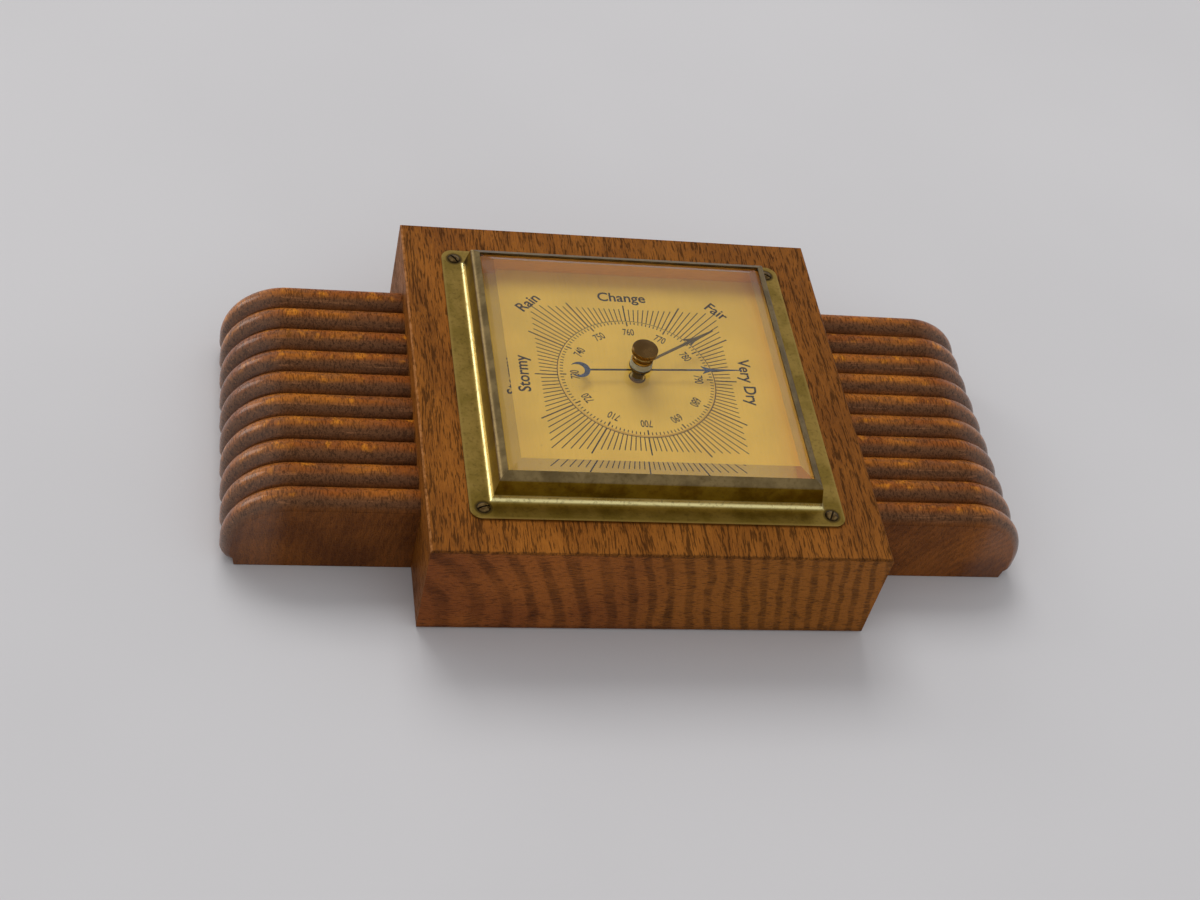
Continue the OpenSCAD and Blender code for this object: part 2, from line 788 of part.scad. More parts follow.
// Single links that lie between pairs of links, with a rivet at each joint.
module chain() {
    links = floor((chain_end_y - chain_gap) / chain_pitch);
    rivet_h = 3 * link_plate_t + 2 * rivet_over;
    start_y = chain_end_y - chain_gap - links * chain_pitch;
    color(STEEL) translate([chain_x, start_y, chain_z])
        for (i = [0 : links - 1]) translate([0, i * chain_pitch, 0]) {
            if (i % 2 == 0) link_plate(-link_plate_t / 2);
            else for (z = [-1.5, 0.5]) link_plate(z * link_plate_t);
            translate([0, 0, -rivet_h / 2]) cylinder(r = rivet_r, h = rivet_h, $fn = 24);
        }
}

// Movement: base, capsule and mainspring

module base_screw_places() {
    for (a = base_screw_deg) rotate(a) translate([base_screw_ring, 0, 0]) rotate(-a) children();
}

module base_plate() {
    color(BRASS) difference() {
        union() {
            translate([0, 0, base_z]) cylinder(r = base_r, h = base_t, $fn = 128);
            translate([0, -adjuster_y, base_top - EPS])
                cylinder(r = adjuster_r + adjuster_boss, h = adjuster_boss_h);
        }
        translate([0, -adjuster_y, base_z - OVER])
            cylinder(r = adjuster_r + FIT, h = base_t + adjuster_boss_h + 2 * OVER);
        base_screw_places() translate([0, 0, base_z - OVER])
            cylinder(r = base_screw_r, h = base_t + 2 * OVER);
    }
}

module base_screws() {
    color(STEEL) base_screw_places() translate([0, 0, base_top])
        cheese_screw(base_head_r, base_head_h, base_screw_r, base_t + base_screw_len, 30);
}

module capsule_stud() {
    color(BRASS) translate([0, 0, base_top]) cylinder(r = stud_r, h = stud_h);
}

// Half section of a corrugated shell, from its flat centre out to its rim at height 0.
function corrugated(height) = let (
    first = stud_r + wave_inset / 2,
    last = capsule_r - rim_flat - wave_inset,
    steps = 6 * corrugations
) concat([[0, height]],
    [for (i = [0 : steps]) [first + (last - first) * i / steps, height - wave_h + wave_h * cos(60 * i)]],
    [[capsule_r - rim_flat, shell_t], [capsule_r, shell_t]]);

module diaphragm() {
    above = corrugated(capsule_half);
    below = [for (p = above) [p[0], p[1] - shell_t]];
    rotate_extrude($fn = 96) polygon(concat(above, reversed(below)));
}

module lower_diaphragm() {
    color(NICKEL) translate([0, 0, rim_z]) mirror([0, 0, 1]) diaphragm();
}

module upper_diaphragm() {
    color(NICKEL) translate([0, 0, rim_z]) diaphragm();
}

// The post passes up through the mainspring, and the pin across it rests on the spring.
module capsule_post() {
    color(BRASS) difference() {
        translate([0, 0, capsule_top]) {
            cylinder(r = post_r, h = pin_z + pin_r + post_over - capsule_top);
            cylinder(r = post_foot_r, h = post_foot_h);
        }
        translate([0, 0, pin_z]) rotate([0, 90, 0]) cylinder(r = pin_r, h = pin_len, center = true);
    }
}

module post_pin() {
    color(STEEL) translate([0, 0, pin_z]) rotate([0, 90, 0]) cylinder(r = pin_r, h = pin_len, center = true);
}

module spring_bridge() {
    width = 2 * leg_x + leg_w;
    color(BRASS) {
        translate([-width / 2, -spring_reach, beam_top - beam_t]) cube([width, beam_depth, beam_t]);
        at_both(leg_x, -spring_reach) translate([-leg_w / 2, 0, base_top])
            cube([leg_w, beam_depth, beam_top - base_top - EPS]);
    }
}

// A C-shaped leaf: a foot on the bridge, a bend, and a leaf that narrows to a tongue.
module main_spring() {
    mid_z = beam_top + spring_t / 2 + bend_r;
    shoulder_y = shoulder_len - spring_reach;
    color(STEEL) {
        translate([-spring_half_w, -spring_reach, beam_top]) cube([2 * spring_half_w, beam_depth, spring_t]);
        translate([-spring_half_w, -spring_reach, mid_z]) rotate([90, 0, 90])
            linear_extrude(2 * spring_half_w) intersection() {
                crescent(bend_r + spring_t / 2, bend_r - spring_t / 2, 0);
                translate([-2 * bend_r, -2 * bend_r]) square([2 * bend_r, 4 * bend_r]);
            }
        translate([0, 0, leaf_z]) linear_extrude(spring_t) difference() {
            polygon(both_sides([[spring_half_w, -spring_reach], [spring_half_w, shoulder_y],
                [tongue_half_w + tongue_flare, tongue_root_y], [tongue_half_w, tongue_len]]));
            circle(r = post_r + post_gap);
            for (y = lever_screw_y) translate([0, y]) circle(r = lever_screw_r + SEAT_GAP);
        }
    }
}

module spring_screws() {
    color(STEEL) at_both(spring_screw_x, -beam_y - beam_depth / 2) translate([0, 0, beam_top + spring_t])
        cylinder(r = spring_screw_r, h = spring_screw_h);
}

// Movement: levers

module main_lever() {
    color(BRASS) translate([0, 0, leaf_top]) linear_extrude(lever_t) difference() {
        union() {
            translate([-lever_half_w, lever_root_y]) square([2 * lever_half_w, link_y - lever_root_y]);
            translate([0, link_y]) circle(r = lever_half_w);
        }
        for (y = lever_screw_y) translate([0, y]) circle(r = lever_screw_r);
        translate([link_x, link_y]) circle(r = link_r);
    }
}

module lever_screws() {
    color(STEEL) for (y = lever_screw_y) translate([0, y, leaf_top + lever_t])
        cheese_screw(lever_head_r, lever_head_h, lever_screw_r, lever_t + spring_t, 40);
}

// A wire that stands in the lever's end and carries a cross pin through the link arm's slot.
module link_rod() {
    color(STEEL) {
        translate([link_x, link_y, leaf_top]) cylinder(r = link_r, h = link_z - leaf_top + link_r);
        translate([link_x, link_y, link_z]) rotate([0, -90, 0])
            cylinder(r = link_r, h = link_x + arm_t / 2 + link_over);
    }
}

module rocking_shaft() {
    color(STEEL) translate([0, rocker_y, rocker_z]) rotate([0, 90, 0]) {
        cylinder(r = shaft_r, h = 2 * (upright_x - shaft_play) - upright_t, center = true);
        cylinder(r = pivot_r, h = 2 * upright_x + upright_t, center = true);
    }
}

// A flat arm on the rocking shaft, drawn along +X of its own plane and turned by deg about the shaft.
module shaft_arm(x, deg) {
    translate([x - arm_t / 2, rocker_y, rocker_z]) rotate([90, 0, 90]) linear_extrude(arm_t) rotate(deg)
        difference() {
            children();
            circle(r = shaft_r);
        }
}

module link_arm() {
    half = link_r + slot_gap;
    half_w = half + arm_wall_thin;
    color(BRASS) shaft_arm(0, rocker_deg) difference() {
        union() {
            circle(r = shaft_r + arm_wall);
            translate([0, -half_w]) square([link_arm + slot_run + arm_wall, 2 * half_w]);
        }
        translate([link_arm - slot_run, -half]) square([2 * slot_run, 2 * half]);
    }
}

module chain_arm() {
    color(BRASS) shaft_arm(chain_x, rocker_deg + 90) union() {
        circle(r = shaft_r + arm_wall);
        translate([0, -chain_arm_w / 2]) square([chain_arm_len, chain_arm_w]);
        translate([chain_arm_len, 0]) circle(r = arm_wall);
    }
}

// Two uprights that carry the rocking shaft's pivots, on a foot screwed to the base plate.
module rocker_frame() {
    front_y = rocker_y - upright_y / 2;
    color(BRASS) difference() {
        union() {
            at_both(upright_x, front_y) translate([-upright_t / 2, 0, base_top])
                cube([upright_t, upright_y, rocker_rise + upright_over]);
            translate([-upright_x, front_y, base_top]) cube([2 * upright_x, rocker_foot_w, upright_t]);
        }
        translate([0, rocker_y, rocker_z]) rotate([0, 90, 0])
            cylinder(r = pivot_r + FIT, h = 4 * upright_x, center = true);
        at_both(rocker_screw_x, rocker_screw_y) cylinder(r = rocker_screw_r, h = DEPTH);
    }
}

module rocker_frame_screws() {
    color(STEEL) at_both(rocker_screw_x, rocker_screw_y) translate([0, 0, base_top + upright_t])
        cheese_screw(rocker_head_r, rocker_head_h, rocker_screw_r, upright_t, 75);
}

// Movement: plates over the capsule

module lower_pillars() {
    color(BRASS) at_both(pillar_x, 0) translate([0, 0, base_top]) cylinder(r = pillar_r, h = bridge_rise);
}

module upper_pillars() {
    foot_z = bridge_z + bridge_t;
    color(BRASS) at_both(pillar_x, 0) translate([0, 0, foot_z]) cylinder(r = pillar_r, h = cock_z - foot_z);
}

// A strip with round ends between the two pillars.
module strip(z, t) {
    translate([0, 0, z]) linear_extrude(t) {
        square([2 * pillar_x, 2 * bridge_half_w], center = true);
        at_both(pillar_x, 0) circle(r = bridge_half_w);
    }
}

module arbor_bridge() {
    color(BRASS) difference() {
        strip(bridge_z, bridge_t);
        translate([0, 0, bridge_z - OVER]) cylinder(r = arbor_r + FIT, h = bridge_t + 2 * OVER);
    }
}

// The upper plate, with a tube that guides the arbor up through the dial.
module arbor_cock() {
    color(BRASS) difference() {
        union() {
            strip(cock_z, cock_t);
            translate([0, 0, cock_z]) cylinder(r = tube_r, h = tube_top - cock_z);
        }
        translate([0, 0, cock_z - OVER]) cylinder(r = arbor_r + FIT, h = tube_top - cock_z + 2 * OVER);
    }
}

module pillar_screws() {
    color(STEEL) at_both(pillar_x, 0) translate([0, 0, cock_z + cock_t]) difference() {
        cylinder(r = pillar_r, h = pillar_head_h);
        screw_slot(pillar_r, slot_w, pillar_head_h / 2, 60);
    }
}

// Adjusting screw: it has no head, and a screwdriver turns its slotted end through the hole in the back

module adjusting_screw() {
    end_z = base_z - adjuster_drop;
    color(STEEL) translate([0, -adjuster_y, end_z]) difference() {
        cylinder(r = adjuster_r, h = beam_top - beam_t - SEAT_GAP - end_z);
        translate([0, 0, adjuster_slot_d]) mirror([0, 0, 1]) screw_slot(adjuster_r, adjuster_slot_w, 0, 0);
    }
}

// Hanger plate with its keyhole, let in flush with the back

module hanger_plate() {
    cut_h = hanger_t + 2 * OVER;
    color(STEEL) difference() {
        translate([0, hanger_y, 0]) plate(hanger_w, hanger_h, hanger_t);
        translate([0, keyhole_y, -OVER]) {
            cylinder(r = keyhole_r, h = cut_h);
            translate([0, slot_len, 0]) cylinder(r = slot_half_w, h = cut_h);
            translate([-slot_half_w, 0, 0]) cube([2 * slot_half_w, slot_len, cut_h]);
        }
        at_both(hanger_screw_x, hanger_y) {
            translate([0, 0, -OVER]) cylinder(r = hanger_screw_r, h = cut_h);
            mirror([0, 0, 1]) countersink(hanger_head_r, hanger_screw_r);
        }
    }
}

// Flat countersunk screws, flush with the back.
module hanger_screws() {
    head_h = hanger_head_r - hanger_screw_r;
    color(STEEL) at_both(hanger_screw_x, hanger_y) mirror([0, 0, 1]) difference() {
        rotate_extrude() polygon([[0, -hanger_screw_len], [hanger_screw_r, -hanger_screw_len],
            [hanger_screw_r, -head_h], [hanger_head_r, 0], [0, 0]]);
        screw_slot(hanger_head_r, slot_w, -slot_w, 25);
    }
}

oak_block();
left_wing();
right_wing();
wing_dowels();
bezel();
bezel_screws();
glass();
gilt_spacer();
dial_plate();
set_knob();
set_hand();
set_hand_nut();
pressure_hand();
hand_collet();
pointer_arbor();
chain_drum();
hairspring();
hairspring_stud();
chain();
base_plate();
base_screws();
capsule_stud();
lower_diaphragm();
upper_diaphragm();
capsule_post();
post_pin();
spring_bridge();
main_spring();
spring_screws();
main_lever();
lever_screws();
link_rod();
rocking_shaft();
link_arm();
chain_arm();
rocker_frame();
rocker_frame_screws();
lower_pillars();
arbor_bridge();
upper_pillars();
arbor_cock();
pillar_screws();
adjusting_screw();
hanger_plate();
hanger_screws();
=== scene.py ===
"""Looks of the wall barometer: materials, dial print, floor, light and camera.

Materials and print work in millimetres, objects in metres. +Z points out of the dial and +Y to its top.
"""

import math

import bmesh
import bpy
from mathutils import Euler, Matrix, Vector


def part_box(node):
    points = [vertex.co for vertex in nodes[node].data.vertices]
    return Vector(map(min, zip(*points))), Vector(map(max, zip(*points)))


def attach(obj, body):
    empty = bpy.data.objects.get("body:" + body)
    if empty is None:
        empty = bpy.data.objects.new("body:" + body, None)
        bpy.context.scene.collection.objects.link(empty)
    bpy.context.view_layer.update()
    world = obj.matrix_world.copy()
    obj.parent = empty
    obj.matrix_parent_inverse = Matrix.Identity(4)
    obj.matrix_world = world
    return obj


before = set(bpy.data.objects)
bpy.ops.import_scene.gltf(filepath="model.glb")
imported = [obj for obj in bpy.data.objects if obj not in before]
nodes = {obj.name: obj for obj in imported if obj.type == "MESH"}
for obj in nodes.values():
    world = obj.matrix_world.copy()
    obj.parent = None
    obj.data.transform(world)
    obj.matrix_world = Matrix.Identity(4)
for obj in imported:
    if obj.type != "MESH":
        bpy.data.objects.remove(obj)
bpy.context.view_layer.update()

MM = 0.001


def extent(node):
    """Lowest and highest corner of a CAD node, in millimetres."""
    low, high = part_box(node)
    return low / MM, high / MM


BLOCK_LOW, BLOCK_HIGH = extent("oak_block")
WING_LOW, WING_HIGH = extent("left_wing")
BEZEL_LOW, BEZEL_HIGH = extent("bezel")
_, SCREWS_HIGH = extent("bezel_screws")
GLASS_LOW, GLASS_HIGH = extent("glass")
DIAL_LOW, DIAL_HIGH = extent("dial_plate")
KNOB_LOW, KNOB_HIGH = extent("set_knob")

# Sizes of the part that its bounds don't tell.
BEADS = 10
FLANGE_T = 0.7
SCREW_HEAD_R = 2.3
GLASS_BEVEL_W = 5.6
GLASS_EDGE_T = 2.0
GLASS_HOLE_R = 3.7
DIAL_T = 0.8
CENTRE_R = 27.0


# Materials

class Look:
    """A node material round a Principled shader. Positions and lengths in it are in millimetres."""

    def __init__(self, name, **values):
        self.material = bpy.data.materials.new(name)
        self.material.use_nodes = True
        self.tree = self.material.node_tree
        self.shader = self.tree.nodes["Principled BSDF"]
        for socket, value in values.items():
            self.shader.inputs[socket.replace("_", " ")].default_value = value
        self.place = self.vector("SCALE", self.node("TexCoord", "Object"), scale=1 / MM)
        self.x, self.y, self.z = self.split(self.place)

    def node(self, kind, output=0, inputs=(), **settings):
        """Adds a shader node and gives one of its outputs. Inputs are links or values, by name or index."""
        made = self.tree.nodes.new("ShaderNode" + kind)
        for name, value in settings.items():
            setattr(made, name, value)
        for key, value in dict(inputs).items():
            if isinstance(value, bpy.types.NodeSocket):
                self.tree.links.new(value, made.inputs[key])
            else:
                made.inputs[key].default_value = value
        return made.outputs[output]

    def split(self, vector):
        """X, Y and Z of a vector."""
        made = self.tree.nodes.new("ShaderNodeSeparateXYZ")
        self.tree.links.new(vector, made.inputs[0])
        return made.outputs

    def math(self, operation, a, b=0.0, c=0.0):
        return self.node("Math", inputs={0: a, 1: b, 2: c}, operation=operation)

    def add(self, a, b):
        return self.math("ADD", a, b)

    def minus(self, a, b):
        return self.math("SUBTRACT", a, b)

    def times(self, a, b):
        return self.math("MULTIPLY", a, b)

    def less(self, share, amount):
        """1 where share is 0, less by the amount where it is 1."""
        return self.math("MULTIPLY_ADD", share, -amount, 1.0)

    def more(self, share, amount):
        """1 where share is 0, more by the amount where it is 1."""
        return self.math("MULTIPLY_ADD", share, amount, 1.0)

    def vector(self, operation, a, b=(0, 0, 0), scale=1.0):
        output = "Value" if operation in ("LENGTH", "DOT_PRODUCT") else "Vector"
        return self.node("VectorMath", output, {0: a, 1: b, 3: scale}, operation=operation)

    def combine(self, x, y, z):
        return self.node("CombineXYZ", inputs={0: x, 1: y, 2: z})

    def noise(self, cells, detail=2.0, roughness=0.5, at=None):
        """Noise from 0 to 1 with the given number of cells per millimetre along X, Y and Z."""
        stretched = self.vector("MULTIPLY", self.place if at is None else at, cells)
        return self.node("TexNoise", inputs={"Vector": stretched, "Scale": 1.0, "Detail": detail,
                                             "Roughness": roughness})

    def wander(self, cells, reach):
        """The place, pushed about by noise."""
        swirl = self.node("TexNoise", 1, {"Vector": self.vector("MULTIPLY", self.place, cells),
                                          "Scale": 1.0, "Detail": 2.0})
        push = self.vector("SCALE", self.vector("SUBTRACT", swirl, (0.5, 0.5, 0.5)), scale=reach)
        return self.vector("ADD", self.place, push)

    def step(self, value, low, high, to_low=0.0, to_high=1.0):
        """Smooth step of a value from low to high, turned to the range from to_low to to_high."""
        return self.node("MapRange", inputs={0: value, 1: low, 2: high, 3: to_low, 4: to_high},
                         interpolation_type="SMOOTHSTEP")

    def mix(self, share, a, b):
        """Colour a where share is 0 and b where it is 1."""
        colours = [c if isinstance(c, bpy.types.NodeSocket) else (*c, 1.0) for c in (a, b)]
        return self.node("Mix", 2, {0: share, 6: colours[0], 7: colours[1]}, data_type="RGBA")

    def tint(self, colour, factor):
        """A colour times a number."""
        return self.vector("SCALE", colour, scale=factor)

    def near(self, value, centre, half, soft):
        """1 within half of centre, fading out over soft."""
        away = self.math("ABSOLUTE", self.minus(value, centre))
        return self.step(away, half, half + soft, 1.0, 0.0)

    def facing(self, direction):
        """How far the surface faces a direction, from -1 to 1."""
        return self.vector("DOT_PRODUCT", self.node("NewGeometry", "Normal"), direction)

    def square_radius(self):
        """Distance from the axis, measured as on a square."""
        return self.math("MAXIMUM", self.math("ABSOLUTE", self.x), self.math("ABSOLUTE", self.y))

    def radius(self):
        """Distance from the axis."""
        return self.vector("LENGTH", self.combine(self.x, self.y, 0.0))

    def finish(self, colour, roughness, height, relief):
        """Joins the results to the shader. The relief is the height of the bumps in millimetres."""
        bump = self.node("Bump", inputs={"Height": height, "Strength": 1.0, "Distance": relief * MM})
        for socket, value in (("Base Color", colour), ("Roughness", roughness), ("Normal", bump)):
            self.tree.links.new(value, self.shader.inputs[socket])
        return self.material


class Oak(Look):
    """Solid oak with its fibres along Y and its growth rings round a pith, a point over X and Z.

    The rings lie ring apart at that distance from the pith, and closer further out where tighten is over 1.
    """

    def __init__(self, name, pith, ring, tighten, **values):
        super().__init__(name, IOR=1.5, **values)
        self.bent = self.wander((0.06, 0.02, 0.06), 5.0)
        from_pith = self.vector("SUBTRACT", self.bent, (pith[0], 0.0, pith[1]))
        from_pith = self.vector("MULTIPLY", from_pith, (1, 0, 1))
        self.distance = self.vector("LENGTH", from_pith)
        over_x, _, over_z = self.split(from_pith)
        angle = self.math("ARCTAN2", over_z, over_x)
        self.tangent = self.times(angle, self.distance)
        sway = self.noise((0.02, 0.012, 0.02), detail=1.0)
        turns = self.math("POWER", self.math("DIVIDE", self.distance, ring), tighten)
        self.phase = self.math("FRACT", self.add(turns, self.times(sway, 1.5)))
        self.on_end = self.step(self.math("ABSOLUTE", self.facing((0, 1, 0))), 0.6, 0.95)
        self.fibre = self.noise((6.0, 0.12, 6.0), detail=3.0, roughness=0.65)

    def band(self, centre, half, soft):
        """1 in a part of each growth ring."""
        return self.near(self.phase, centre, half, soft)

    def pores(self, cells, low, high, more=0.0):
        """Open vessels: dashes along the fibres on a face, dots on an end."""
        field = self.noise(cells, detail=2.0, roughness=0.6, at=self.bent)
        return self.step(self.add(field, more), low, high)

    def hatch(self, cells, low, high, to_low=0.0):
        """Marks laid out from the pith: cells per millimetre outwards, along the fibres and round."""
        rolled = self.combine(self.distance, self.y, self.tangent)
        return self.step(self.noise(cells, detail=2.0, roughness=0.6, at=rolled), low, high, to_low)


def block_oak():
    """Reddish on the left and yellower on the right: streaked on the faces, banded on the ends."""
    look = Oak("oak", (-150.0, -15.0), 41.1, 1.88, Specular_IOR_Level=0.09)
    blotch = look.noise((0.035, 0.02, 0.035), detail=3.0)
    right = look.step(look.add(look.x, look.times(blotch, 50.0)), -20.0, 70.0)
    uneven = look.step(look.noise((0.05, 0.02, 0.12)), 0.3, 0.6, 0.45, 1.0)
    dark_ring = look.times(look.band(0.5, 0.12, 0.18), uneven)

    # Faces along the fibres: fine dark streaks on a warm ground.
    warmth = look.add(look.times(blotch, 0.5), look.times(look.fibre, 0.5))
    face = look.mix(look.step(warmth, 0.36, 0.62), (0.168, 0.050, 0.0060), (0.335, 0.115, 0.0145))
    face = look.mix(look.times(right, 0.35), face, (0.240, 0.086, 0.0120))
    face = look.tint(face, look.less(dark_ring, 0.12))
    streak = look.pores((1.7, 0.15, 1.7), 0.53, 0.63, look.times(dark_ring, 0.05))
    thread = look.pores((4.6, 0.22, 4.6), 0.55, 0.68)
    face = look.tint(face, look.less(streak, 0.62))
    face = look.tint(face, look.less(thread, 0.26))

    # Ends: dark bands made of short marks, closer together on the right.
    end = look.mix(look.step(blotch, 0.35, 0.65), (0.230, 0.064, 0.0140), (0.340, 0.103, 0.0190))
    end = look.mix(right, end, (0.330, 0.113, 0.0155))
    marks = look.hatch((0.28, 0.05, 2.0), 0.34, 0.66, to_low=0.4)
    end = look.tint(end, look.less(look.times(dark_ring, marks), 0.58))
    speck = look.hatch((0.40, 0.05, 2.6), 0.52, 0.66)
    end = look.tint(end, look.less(speck, 0.52))
    blot = look.step(look.noise((0.09, 0.05, 0.11), detail=4.0, roughness=0.6), 0.60, 0.70)
    end = look.tint(end, look.less(blot, 0.40))
    scratch = look.step(look.noise((0.25, 0.1, 5.0), detail=1.0), 0.68, 0.74)
    end = look.tint(end, look.more(scratch, 0.35))
    # Painted shade: the ends darken over their lowest 3 mm, where they meet the floor.
    end = look.tint(end, look.step(look.z, BLOCK_LOW.z, BLOCK_LOW.z + 3.0, 0.55, 1.0))
    colour = look.mix(look.on_end, face, end)

    # The left arris carries a painted highlight in pale orange, and the near one is chipped.
    ragged = look.times(look.minus(look.noise((0.7, 0.7, 0.7), detail=4.0), 0.5), 1.4)
    under = look.minus(BLOCK_HIGH.z, look.z)
    from_left = look.add(look.minus(look.x, BLOCK_LOW.x), under)
    lit_arris = look.step(look.add(from_left, ragged), 0.3, 0.8, 1.0, 0.0)
    from_near = look.add(look.minus(look.y, BLOCK_LOW.y), under)
    chip = look.step(look.add(from_near, look.times(ragged, 1.6)), 0.5, 1.0, 1.0, 0.0)
    colour = look.mix(look.times(lit_arris, 0.7), colour, (0.46, 0.19, 0.055))
    colour = look.tint(colour, look.less(chip, 0.40))

    hollow = look.math("MAXIMUM", streak, look.times(thread, 0.5))
    roughness = look.add(0.46, look.times(hollow, 0.2))
    height = look.minus(look.times(look.fibre, 0.35), hollow)
    return look.finish(colour, roughness, height, 0.10)


def wing_oak(name, pith, end_light):
    """Orange on the far half of each bead, painted light from the lamp side mixed with real orange flecks,
    brown on the near flanks and nearly black in the grooves.
    """
    look = Oak(name, pith, 3.1, 1.0, Specular_IOR_Level=0.08, Coat_Roughness=0.20)
    pitch = (WING_HIGH.y - WING_LOW.y) / BEADS
    over_bead = look.math("FRACT", look.math("DIVIDE", look.minus(look.y, WING_LOW.y), pitch))
    # Painted light: the far half of each bead, which faces the lamp, is painted orange, and the near half
    # stays brown.
    lit_far_half = look.near(over_bead, 0.66, 0.14, 0.30)
    lit_crest = look.times(lit_far_half, look.step(look.noise((0.10, 0.35, 0.35), detail=3.0), 0.32, 0.60, 0.45, 1.0))
    out_of_groove = look.near(over_bead, 0.5, 0.44, 0.06)
    blotch = look.noise((0.05, 0.05, 0.05), detail=3.0)

    brown = look.mix(look.step(look.fibre, 0.35, 0.65), (0.110, 0.046, 0.0180), (0.190, 0.080, 0.0320))
    orange = look.mix(look.step(blotch, 0.38, 0.62), (0.285, 0.075, 0.0075), (0.455, 0.140, 0.0110))
    face = look.mix(look.times(lit_crest, 0.9), brown, orange)
    glow = look.step(look.noise((0.22, 0.16, 0.22), detail=3.0, roughness=0.6), 0.55, 0.70)
    face = look.mix(look.times(glow, look.times(lit_crest, 0.7)), face, (0.72, 0.250, 0.0140))
    streak = look.pores((1.5, 0.30, 1.5), 0.52, 0.62)
    thread = look.pores((4.2, 0.40, 4.2), 0.54, 0.66)
    face = look.tint(face, look.less(streak, 0.45))
    face = look.tint(face, look.less(thread, 0.30))
    line = look.step(look.noise((0.045, 0.9, 1.3), detail=2.0), 0.60, 0.67)
    pale_vein = look.times(line, look.less(lit_far_half, 1.0))
    face = look.tint(face, look.more(pale_vein, 0.60))
    face = look.tint(face, look.math("MULTIPLY_ADD", out_of_groove, 0.88, 0.12))

    end = look.mix(look.step(blotch, 0.35, 0.65), (0.165, 0.050, 0.0100), (0.270, 0.086, 0.0150))
    end = look.tint(end, look.less(look.band(0.3, 0.16, 0.2), 0.14))
    end = look.tint(end, look.less(look.hatch((0.7, 0.05, 3.0), 0.50, 0.62), 0.36))
    end = look.tint(end, look.less(look.pores((3.2, 0.05, 0.7), 0.52, 0.64), 0.34))
    colour = look.mix(look.on_end, face, look.tint(end, end_light))

    # Hands have polished the rounded outer ends.
    reach = -WING_LOW.x
    polish = look.step(look.math("ABSOLUTE", look.x), reach - 22.0, reach - 12.0, 0.05, 0.75)
    look.tree.links.new(polish, look.shader.inputs["Coat Weight"])

    hollow = look.math("MAXIMUM", streak, look.times(thread, 0.5))
    roughness = look.add(0.42, look.times(hollow, 0.25))
    height = look.minus(look.times(look.fibre, 0.4), hollow)
    return look.finish(colour, roughness, height, 0.16)


def beech():
    """Pale, with short dark flecks along the dowels."""
    look = Look("beech")
    fibre = look.noise((0.3, 5.0, 5.0), detail=3.0)
    fleck = look.step(look.noise((0.5, 2.5, 2.5), detail=1.0), 0.6, 0.68)
    colour = look.mix(look.step(fibre, 0.35, 0.65), (0.50, 0.31, 0.16), (0.66, 0.45, 0.26))
    colour = look.mix(look.times(fleck, 0.4), colour, (0.32, 0.16, 0.07))
    return look.finish(colour, look.step(fibre, 0.3, 0.7, 0.5, 0.65), fibre, 0.06)


def bezel_brass():
    """Aged brass: olive on the flange and painted darker towards its near edge as a dark reflection, dark on
    wall and lip, and painted bright along the fillet as a highlight.
    """
    look = Look("bezel_brass", Metallic=1.0)
    cloud = look.noise((0.12, 0.12, 0.12), detail=4.0, roughness=0.6)
    speck = look.noise((0.9, 0.9, 0.9), detail=3.0)
    flange_top = BEZEL_LOW.z + FLANGE_T
    on_flange = look.step(look.z, flange_top + 0.05, flange_top + 0.55, 1.0, 0.0)
    on_fillet = look.near(look.z, flange_top + 1.25, 0.6, 0.8)
    on_lip = look.step(look.z, BEZEL_HIGH.z - 2.4, BEZEL_HIGH.z - 1.8)
    wall = look.mix(look.step(cloud, 0.35, 0.65), (0.18, 0.118, 0.007), (0.30, 0.205, 0.017))
    # Painted highlight: a pale yellow band along the fillet, where the lamp's reflection runs.
    wall = look.mix(on_fillet, wall, (1.0, 0.88, 0.420))
    flange = look.mix(look.step(cloud, 0.35, 0.65), (0.28, 0.185, 0.036), (0.42, 0.275, 0.066))
    # Painted reflection: the flange darkens towards its near edge, standing in for the dark near side of the
    # room that it mirrors.
    near_edge_reflection = look.step(look.y, BEZEL_LOW.y + 7.0, BEZEL_LOW.y + 15.0, 0.45, 0.0)
    flange = look.mix(near_edge_reflection, flange, (0.145, 0.092, 0.004))
    lip = look.mix(look.step(cloud, 0.35, 0.65), (0.15, 0.105, 0.045), (0.26, 0.185, 0.080))
    colour = look.mix(on_lip, look.mix(on_flange, wall, flange), lip)
    grime = look.times(look.step(speck, 0.5, 0.72), 0.35)
    colour = look.mix(grime, colour, (0.10, 0.062, 0.016))
    worn = look.times(look.step(look.square_radius(), BEZEL_HIGH.x - 1.1, BEZEL_HIGH.x - 0.2), 0.5)
    colour = look.mix(worn, colour, (0.46, 0.31, 0.085))

    # Darker in a narrow ring round each screw head.
    screw_at = SCREWS_HIGH.x - SCREW_HEAD_R
    corner = look.combine(look.math("ABSOLUTE", look.x), look.math("ABSOLUTE", look.y), 0.0)
    from_screw = look.vector("LENGTH", look.vector("SUBTRACT", corner, (screw_at, screw_at, 0.0)))
    screw_ring_dark = look.step(from_screw, SCREW_HEAD_R + 0.2, SCREW_HEAD_R + 1.0, 0.75, 0.0)
    colour = look.mix(screw_ring_dark, colour, (0.05, 0.028, 0.008))

    roughness = look.add(look.step(cloud, 0.3, 0.7, 0.24, 0.38), look.times(speck, 0.12))
    roughness = look.add(roughness, look.times(on_fillet, -0.06))
    return look.finish(colour, roughness, look.add(cloud, look.times(speck, 0.2)), 0.05)


def screw_brass():
    """Dull brass, darker below the top of each head and so nearly black in the slots."""
    look = Look("screw_brass", Metallic=1.0)
    cloud = look.noise((0.8, 0.8, 0.8), detail=3.0)
    colour = look.mix(look.step(cloud, 0.35, 0.65), (0.10, 0.058, 0.020), (0.27, 0.175, 0.065))
    # Darker below the top 0.2 mm of each head.
    colour = look.tint(colour, look.step(look.z, SCREWS_HIGH.z - 0.5, SCREWS_HIGH.z - 0.2, 0.15, 1.0))
    scratch = look.noise((6.0, 0.9, 1.0), detail=2.0)
    return look.finish(colour, look.step(scratch, 0.3, 0.7, 0.26, 0.5), scratch, 0.03)


